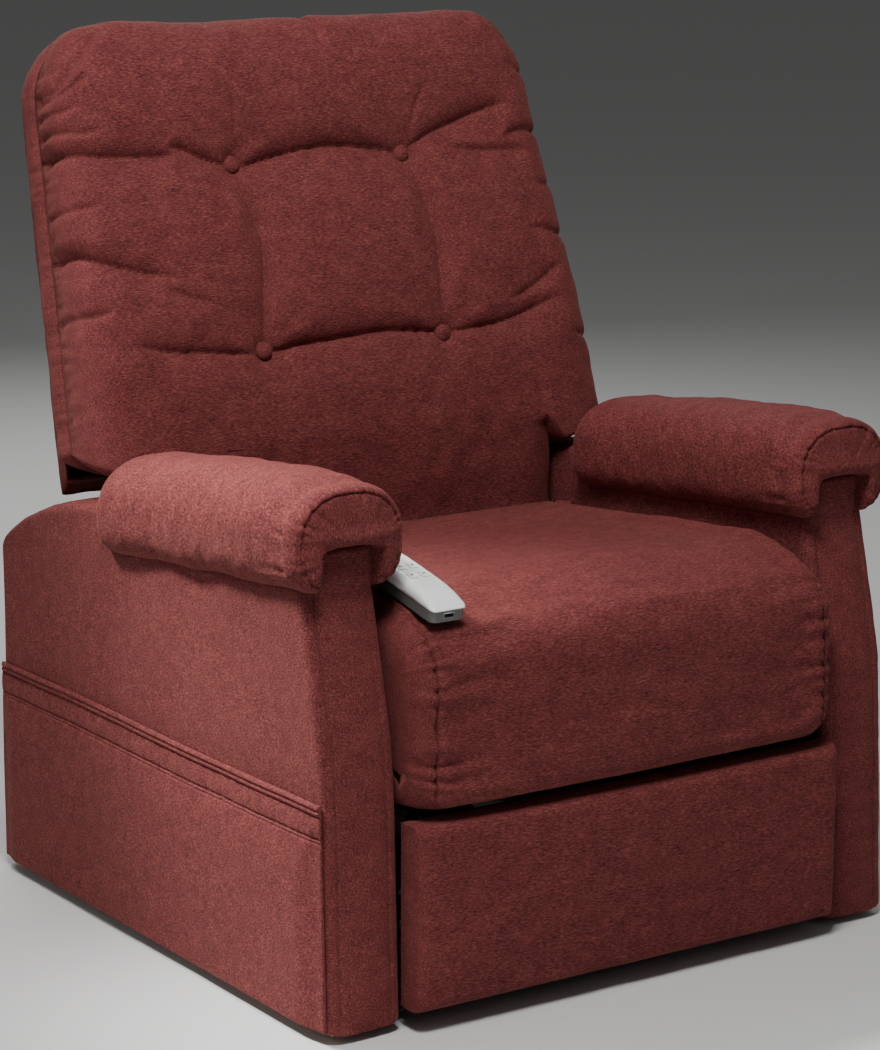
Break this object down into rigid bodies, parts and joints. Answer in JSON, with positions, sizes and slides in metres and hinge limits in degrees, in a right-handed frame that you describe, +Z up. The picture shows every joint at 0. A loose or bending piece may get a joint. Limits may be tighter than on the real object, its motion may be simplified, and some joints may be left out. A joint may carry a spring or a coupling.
{
  "type": "lift recliner chair",
  "caption": "Upholstered power lift recliner with button-tufted back, rolled arm pads, footrest panel, side pocket and hand control resting on the seat.",
  "frame": {"origin": "on the floor, under the middle of the chair's overall box", "axes": "+Z up, the seat faces -Y, +X is the sitter's left"},
  "size_m": [0.844, 0.8886, 1.0641],
  "materials": {
    "upholstery": "dark red chenille weave",
    "black_steel": "satin black powder coat",
    "zinc_steel": "zinc plated",
    "ram_steel": "ground steel",
    "motor_plastic": "moulded, fine texture",
    "glide_plastic": "moulded",
    "timber": "planed softwood and plywood",
    "handset_white": "smooth moulded",
    "handset_grey": "fine satin",
    "socket_metal": "plated",
    "circuit_green": "solder mask"
  },
  "bodies": {
    "base": {"base_frame": "black_steel", "base_feet": "glide_plastic", "base_pins": "zinc_steel", "power_supply": "motor_plastic"},
    "lift_strut": {"lift_motor": "motor_plastic", "lift_outer_tube": "ram_steel"},
    "lift_ram": {"lift_rod": "ram_steel"},
    "lift_arms": {"lift_torque_tube": "black_steel", "lower_link_left": "black_steel", "lower_link_right": "black_steel"},
    "upper_arm_left": {"upper_link_left": "black_steel"},
    "upper_arm_right": {"upper_link_right": "black_steel"},
    "chassis": {"chassis_plate_left": "black_steel", "chassis_plate_right": "black_steel", "cross_tubes": "black_steel", "footrest_guides": "black_steel", "chassis_pins": "zinc_steel", "seat_frame": "timber", "seat_springs": "zinc_steel", "seat_cushion": "upholstery", "arm_frame_left": "timber", "arm_frame_right": "timber", "arm_cover_left": "upholstery", "arm_cover_right": "upholstery", "arm_pad_left": "upholstery", "arm_pad_right": "upholstery", "side_pocket": "upholstery", "arm_bolts": "zinc_steel", "rear_panel": "upholstery"},
    "back": {"back_frame": "timber", "back_springs": "zinc_steel", "back_cushion": "upholstery", "back_buttons": "upholstery", "back_panel": "upholstery", "back_levers": "black_steel", "lever_bar": "black_steel"},
    "drive_rod_left": {"drive_rod_left": "black_steel"},
    "drive_rod_right": {"drive_rod_right": "black_steel"},
    "recline_strut": {"recline_motor": "motor_plastic", "recline_outer_tube": "ram_steel"},
    "recline_ram": {"recline_rod": "ram_steel"},
    "foot_drive": {"foot_drive_tube": "black_steel"},
    "foot_inner_left": {"foot_inner_link_left": "black_steel"},
    "foot_inner_right": {"foot_inner_link_right": "black_steel"},
    "foot_lower_left": {"foot_lower_link_left": "black_steel"},
    "foot_lower_right": {"foot_lower_link_right": "black_steel"},
    "foot_upper_left": {"foot_upper_link_left": "black_steel"},
    "foot_upper_right": {"foot_upper_link_right": "black_steel"},
    "footrest": {"footrest_board": "timber", "footrest_brackets": "black_steel", "footrest_pad": "upholstery"},
    "handset": {"handset_shell": "handset_white", "handset_base": "handset_grey", "handset_socket": "socket_metal", "handset_circuit": "circuit_green"},
    "key_back_up": {"key_back_up": "handset_white"},
    "key_back_down": {"key_back_down": "handset_white"},
    "key_lift_up": {"key_lift_up": "handset_white"},
    "key_lift_down": {"key_lift_down": "handset_white"}
  },
  "joints": [
    {"name": "chair_lift", "type": "hinge", "parent": "base", "child": "lift_arms", "pos_m": [0, -0.235, 0.07], "axis": [1, 0, 0], "range_deg": [0, 60]},
    {"name": "upper_link_left_swing", "type": "hinge", "parent": "base", "child": "upper_arm_left", "pos_m": [0, -0.2002, 0.0691], "axis": [1, 0, 0], "range_deg": [0, 56.68]},
    {"name": "upper_link_right_swing", "type": "hinge", "parent": "base", "child": "upper_arm_right", "pos_m": [0, -0.2002, 0.0691], "axis": [1, 0, 0], "range_deg": [0, 56.68]},
    {"name": "chassis_tilt", "type": "hinge", "parent": "lift_arms", "child": "chassis", "pos_m": [0, 0.095, 0.1], "axis": [1, 0, 0], "range_deg": [-36.02, 0]},
    {"name": "lift_strut_swing", "type": "hinge", "parent": "base", "child": "lift_strut", "pos_m": [0, 0.3, 0.055], "axis": [1, 0, 0], "range_deg": [-0.271, 0]},
    {"name": "lift_ram_slide", "type": "slide", "parent": "lift_strut", "child": "lift_ram", "axis": [0, -0.9903, 0.1387], "range_m": [0, 0.07016]},
    {"name": "back_recline", "type": "hinge", "parent": "chassis", "child": "back", "pos_m": [0, 0.165, 0.295], "axis": [-1, 0, 0], "range_deg": [0, 34]},
    {"name": "recline_strut_swing", "type": "hinge", "parent": "chassis", "child": "recline_strut", "pos_m": [0, -0.215, 0.2], "axis": [1, 0, 0], "range_deg": [-0.337, 0]},
    {"name": "recline_ram_slide", "type": "slide", "parent": "recline_strut", "child": "recline_ram", "axis": [0, 0.9996, -0.0293], "range_m": [-0.06566, 0]},
    {"name": "drive_rod_left_swing", "type": "hinge", "parent": "back", "child": "drive_rod_left", "pos_m": [0, 0.19775, 0.18789], "axis": [1, 0, 0], "range_deg": [0, 34.43]},
    {"name": "drive_rod_right_swing", "type": "hinge", "parent": "back", "child": "drive_rod_right", "pos_m": [0, 0.19775, 0.18789], "axis": [1, 0, 0], "range_deg": [0, 34.43]},
    {"name": "foot_drive_turn", "type": "hinge", "parent": "chassis", "child": "foot_drive", "pos_m": [0, -0.26204, 0.21198], "axis": [1, 0, 0], "range_deg": [-63.96, 0]},
    {"name": "foot_inner_left_turn", "type": "hinge", "parent": "foot_drive", "child": "foot_inner_left", "pos_m": [0, -0.27357, 0.13001], "axis": [1, 0, 0], "range_deg": [0, 127.91]},
    {"name": "foot_lower_left_turn", "type": "hinge", "parent": "foot_drive", "child": "foot_lower_left", "pos_m": [0, -0.2851, 0.04803], "axis": [1, 0, 0], "range_deg": [0, 87.34]},
    {"name": "foot_upper_left_turn", "type": "hinge", "parent": "foot_inner_left", "child": "foot_upper_left", "pos_m": [0, -0.2851, 0.21198], "axis": [1, 0, 0], "range_deg": [-102.92, 0]},
    {"name": "foot_inner_right_turn", "type": "hinge", "parent": "foot_drive", "child": "foot_inner_right", "pos_m": [0, -0.27357, 0.13001], "axis": [1, 0, 0], "range_deg": [0, 127.91]},
    {"name": "foot_lower_right_turn", "type": "hinge", "parent": "foot_drive", "child": "foot_lower_right", "pos_m": [0, -0.2851, 0.04803], "axis": [1, 0, 0], "range_deg": [0, 87.34]},
    {"name": "foot_upper_right_turn", "type": "hinge", "parent": "foot_inner_right", "child": "foot_upper_right", "pos_m": [0, -0.2851, 0.21198], "axis": [1, 0, 0], "range_deg": [-102.92, 0]},
    {"name": "footrest_turn", "type": "hinge", "parent": "foot_lower_left", "child": "footrest", "pos_m": [0, -0.37041, 0.18558], "axis": [1, 0, 0], "range_deg": [-105.4, 0]},
    {"name": "handset_lift_off", "type": "slide", "parent": "chassis", "child": "handset", "axis": [0, 0, 1], "range_m": [0, 0.15]},
    {"name": "key_back_up_press", "type": "slide", "parent": "handset", "child": "key_back_up", "axis": [0, 0.2079, -0.9781], "range_m": [0, 0.0006], "stiffness_N_per_m": 400},
    {"name": "key_back_down_press", "type": "slide", "parent": "handset", "child": "key_back_down", "axis": [0, 0.2079, -0.9781], "range_m": [0, 0.0006], "stiffness_N_per_m": 400},
    {"name": "key_lift_up_press", "type": "slide", "parent": "handset", "child": "key_lift_up", "axis": [0, 0.2079, -0.9781], "range_m": [0, 0.0006], "stiffness_N_per_m": 400},
    {"name": "key_lift_down_press", "type": "slide", "parent": "handset", "child": "key_lift_down", "axis": [0, 0.2079, -0.9781], "range_m": [0, 0.0006], "stiffness_N_per_m": 400}
  ],
  "couplings": [
    {"joint": "upper_link_left_swing", "follows": "chair_lift", "ratio": 0.9443},
    {"joint": "upper_link_right_swing", "follows": "chair_lift", "ratio": 0.9443},
    {"joint": "chassis_tilt", "follows": "chair_lift", "ratio": -0.6},
    {"joint": "lift_strut_swing", "follows": "chair_lift", "ratio": -0.00419},
    {"joint": "lift_ram_slide", "follows": "chair_lift", "m_per_rad": 0.06681},
    {"joint": "recline_strut_swing", "follows": "back_recline", "ratio": -0.00931},
    {"joint": "recline_ram_slide", "follows": "back_recline", "m_per_rad": -0.11031},
    {"joint": "drive_rod_left_swing", "follows": "back_recline", "ratio": 1.0121},
    {"joint": "drive_rod_right_swing", "follows": "back_recline", "ratio": 1.0121},
    {"joint": "foot_drive_turn", "follows": "back_recline", "ratio": -1.8807},
    {"joint": "foot_inner_left_turn", "follows": "back_recline", "ratio": 3.7614},
    {"joint": "foot_lower_left_turn", "follows": "back_recline", "ratio": 2.5682},
    {"joint": "foot_upper_left_turn", "follows": "back_recline", "ratio": -3.0263},
    {"joint": "foot_inner_right_turn", "follows": "back_recline", "ratio": 3.7614},
    {"joint": "foot_lower_right_turn", "follows": "back_recline", "ratio": 2.5682},
    {"joint": "foot_upper_right_turn", "follows": "back_recline", "ratio": -3.0263},
    {"joint": "footrest_turn", "follows": "back_recline", "ratio": -3.0993}
  ]
}
